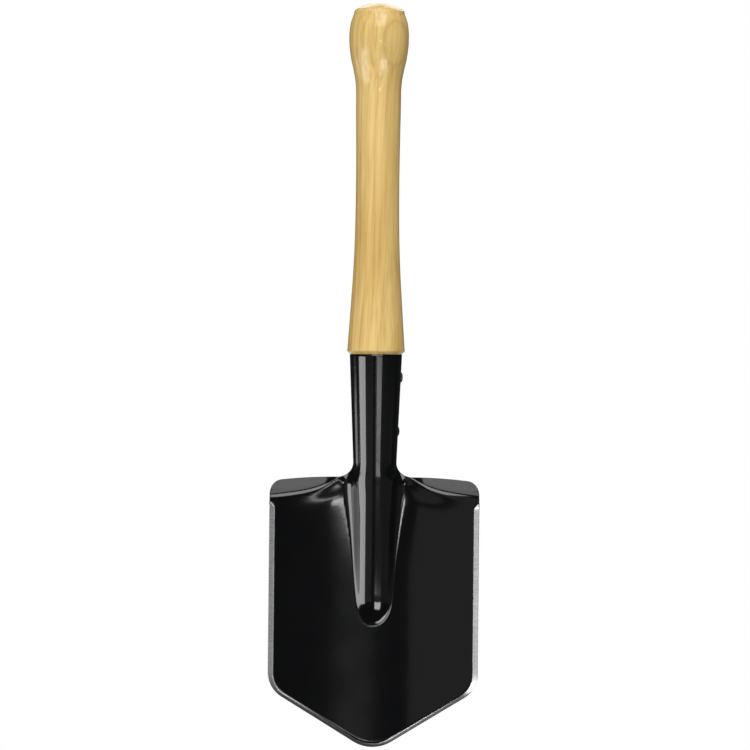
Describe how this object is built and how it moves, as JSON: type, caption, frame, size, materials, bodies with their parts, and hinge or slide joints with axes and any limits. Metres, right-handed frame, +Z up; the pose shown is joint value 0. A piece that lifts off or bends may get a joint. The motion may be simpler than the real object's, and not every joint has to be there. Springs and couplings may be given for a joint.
{
  "type": "camp shovel",
  "caption": "Short fixed-handle camp shovel: pointed, dished steel blade with a raised rib, turned-back steps and a rolled socket, on a turned wooden handle.",
  "frame": {"origin": "on the handle's axis at the middle of the grip, 390 mm above the blade's tip", "axes": "+Z up the handle from the blade's tip to the knob, +X across the blade to the right as the digging face is seen, the digging face looks along -Y"},
  "size_m": [0.1456, 0.0414, 0.5141],
  "materials": {
    "black_enamel": "gloss black enamel on pressed steel, with the edges ground bare",
    "lacquered_wood": "pale straight-grained hardwood under clear gloss lacquer",
    "painted_screws": "black painted steel, worn in the recess"
  },
  "bodies": {
    "root": {"shovel_head": "black_enamel", "handle": "lacquered_wood", "socket_screws": "painted_screws"}
  },
  "joints": []
}
